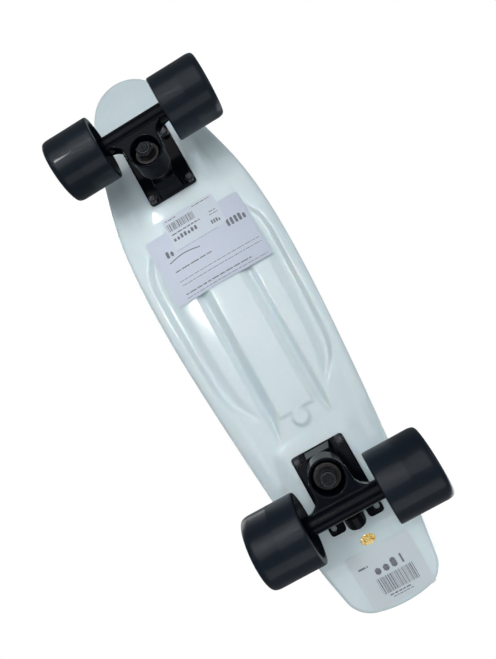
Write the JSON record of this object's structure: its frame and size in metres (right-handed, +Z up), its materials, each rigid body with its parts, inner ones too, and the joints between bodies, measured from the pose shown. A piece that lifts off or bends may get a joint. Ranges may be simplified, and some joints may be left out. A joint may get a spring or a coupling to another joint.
{
  "type": "skateboard",
  "caption": "Short moulded plastic cruiser skateboard, white deck with a kicked tail, two bushing-steered trucks and four black wheels on ball bearings.",
  "frame": {"origin": "on the floor, under the middle of the board's length and width", "axes": "+X to the nose, +Y to the rider's left, +Z up"},
  "size_m": [0.57, 0.1546, 0.1176],
  "materials": {
    "deck_plastic": "glossy moulded white polypropylene",
    "label_paper": "satin paper label",
    "seal_foil": "crinkled gold foil",
    "black_steel": "black oxide steel with a light oil sheen",
    "truck_paint": "glossy black enamel on cast aluminium",
    "cup_urethane": "matt black urethane",
    "bushing_urethane": "smooth black urethane",
    "wheel_urethane": "glossy black cast urethane",
    "core_nylon": "black glass-filled nylon",
    "bearing_steel": "ground bearing steel",
    "shield_steel": "dark pressed shield",
    "cage_nylon": "natural nylon"
  },
  "bodies": {
    "board": {"deck": "deck_plastic", "care_label": "label_paper", "bar_label": "label_paper", "tail_label": "label_paper", "foil_seal": "seal_foil", "deck_screws": "black_steel", "deck_nuts": "black_steel", "front_baseplate": "truck_paint", "front_pivot_cup": "cup_urethane", "front_kingpin": "black_steel", "front_lower_washer": "black_steel", "front_lower_bushing": "bushing_urethane", "front_upper_bushing": "bushing_urethane", "front_upper_washer": "black_steel", "front_kingpin_nut": "black_steel", "rear_baseplate": "truck_paint", "rear_pivot_cup": "cup_urethane", "rear_kingpin": "black_steel", "rear_lower_washer": "black_steel", "rear_lower_bushing": "bushing_urethane", "rear_upper_bushing": "bushing_urethane", "rear_upper_washer": "black_steel", "rear_kingpin_nut": "black_steel"},
    "front_truck": {"front_hanger": "truck_paint", "front_axle": "black_steel", "front_speed_washers": "bearing_steel", "front_bearing_spacers": "bearing_steel", "front_axle_nuts": "black_steel", "front_inner_races": "bearing_steel"},
    "front_left_wheel": {"front_left_tyre": "wheel_urethane", "front_left_core": "core_nylon", "front_left_outer_races": "bearing_steel", "front_left_shields": "shield_steel"},
    "front_left_ball_cage": {"front_left_cages": "cage_nylon", "front_left_balls": "bearing_steel"},
    "front_right_wheel": {"front_right_tyre": "wheel_urethane", "front_right_core": "core_nylon", "front_right_outer_races": "bearing_steel", "front_right_shields": "shield_steel"},
    "front_right_ball_cage": {"front_right_cages": "cage_nylon", "front_right_balls": "bearing_steel"},
    "rear_truck": {"rear_hanger": "truck_paint", "rear_axle": "black_steel", "rear_speed_washers": "bearing_steel", "rear_bearing_spacers": "bearing_steel", "rear_axle_nuts": "black_steel", "rear_inner_races": "bearing_steel"},
    "rear_left_wheel": {"rear_left_tyre": "wheel_urethane", "rear_left_core": "core_nylon", "rear_left_outer_races": "bearing_steel", "rear_left_shields": "shield_steel"},
    "rear_left_ball_cage": {"rear_left_cages": "cage_nylon", "rear_left_balls": "bearing_steel"},
    "rear_right_wheel": {"rear_right_tyre": "wheel_urethane", "rear_right_core": "core_nylon", "rear_right_outer_races": "bearing_steel", "rear_right_shields": "shield_steel"},
    "rear_right_ball_cage": {"rear_right_cages": "cage_nylon", "rear_right_balls": "bearing_steel"}
  },
  "joints": [
    {"name": "front_steer", "type": "hinge", "parent": "board", "child": "front_truck", "pos_m": [0.16362, 0, 0.041], "axis": [0.8676, 0, 0.4973], "range_deg": [-10, 10], "stiffness_Nm_per_rad": 45, "deforming": ["front_lower_bushing", "front_upper_bushing"]},
    {"name": "front_left_spin", "type": "hinge", "parent": "front_truck", "child": "front_left_wheel", "pos_m": [0.192, 0.0543, 0.0295], "axis": [0, 1, 0], "continuous": true},
    {"name": "front_left_balls_roll", "type": "hinge", "parent": "front_truck", "child": "front_left_ball_cage", "pos_m": [0.192, 0.0543, 0.0295], "axis": [0, 1, 0], "continuous": true},
    {"name": "front_right_spin", "type": "hinge", "parent": "front_truck", "child": "front_right_wheel", "pos_m": [0.192, -0.0543, 0.0295], "axis": [0, 1, 0], "continuous": true},
    {"name": "front_right_balls_roll", "type": "hinge", "parent": "front_truck", "child": "front_right_ball_cage", "pos_m": [0.192, -0.0543, 0.0295], "axis": [0, 1, 0], "continuous": true},
    {"name": "rear_steer", "type": "hinge", "parent": "board", "child": "rear_truck", "pos_m": [-0.14962, 0, 0.041], "axis": [-0.8676, 0, 0.4973], "range_deg": [-10, 10], "stiffness_Nm_per_rad": 45, "deforming": ["rear_lower_bushing", "rear_upper_bushing"]},
    {"name": "rear_left_spin", "type": "hinge", "parent": "rear_truck", "child": "rear_left_wheel", "pos_m": [-0.178, 0.0543, 0.0295], "axis": [0, 1, 0], "continuous": true},
    {"name": "rear_left_balls_roll", "type": "hinge", "parent": "rear_truck", "child": "rear_left_ball_cage", "pos_m": [-0.178, 0.0543, 0.0295], "axis": [0, 1, 0], "continuous": true},
    {"name": "rear_right_spin", "type": "hinge", "parent": "rear_truck", "child": "rear_right_wheel", "pos_m": [-0.178, -0.0543, 0.0295], "axis": [0, 1, 0], "continuous": true},
    {"name": "rear_right_balls_roll", "type": "hinge", "parent": "rear_truck", "child": "rear_right_ball_cage", "pos_m": [-0.178, -0.0543, 0.0295], "axis": [0, 1, 0], "continuous": true}
  ],
  "couplings": [
    {"joint": "front_left_balls_roll", "follows": "front_left_spin", "ratio": 0.632},
    {"joint": "front_right_balls_roll", "follows": "front_right_spin", "ratio": 0.632},
    {"joint": "rear_left_balls_roll", "follows": "rear_left_spin", "ratio": 0.632},
    {"joint": "rear_right_balls_roll", "follows": "rear_right_spin", "ratio": 0.632}
  ]
}
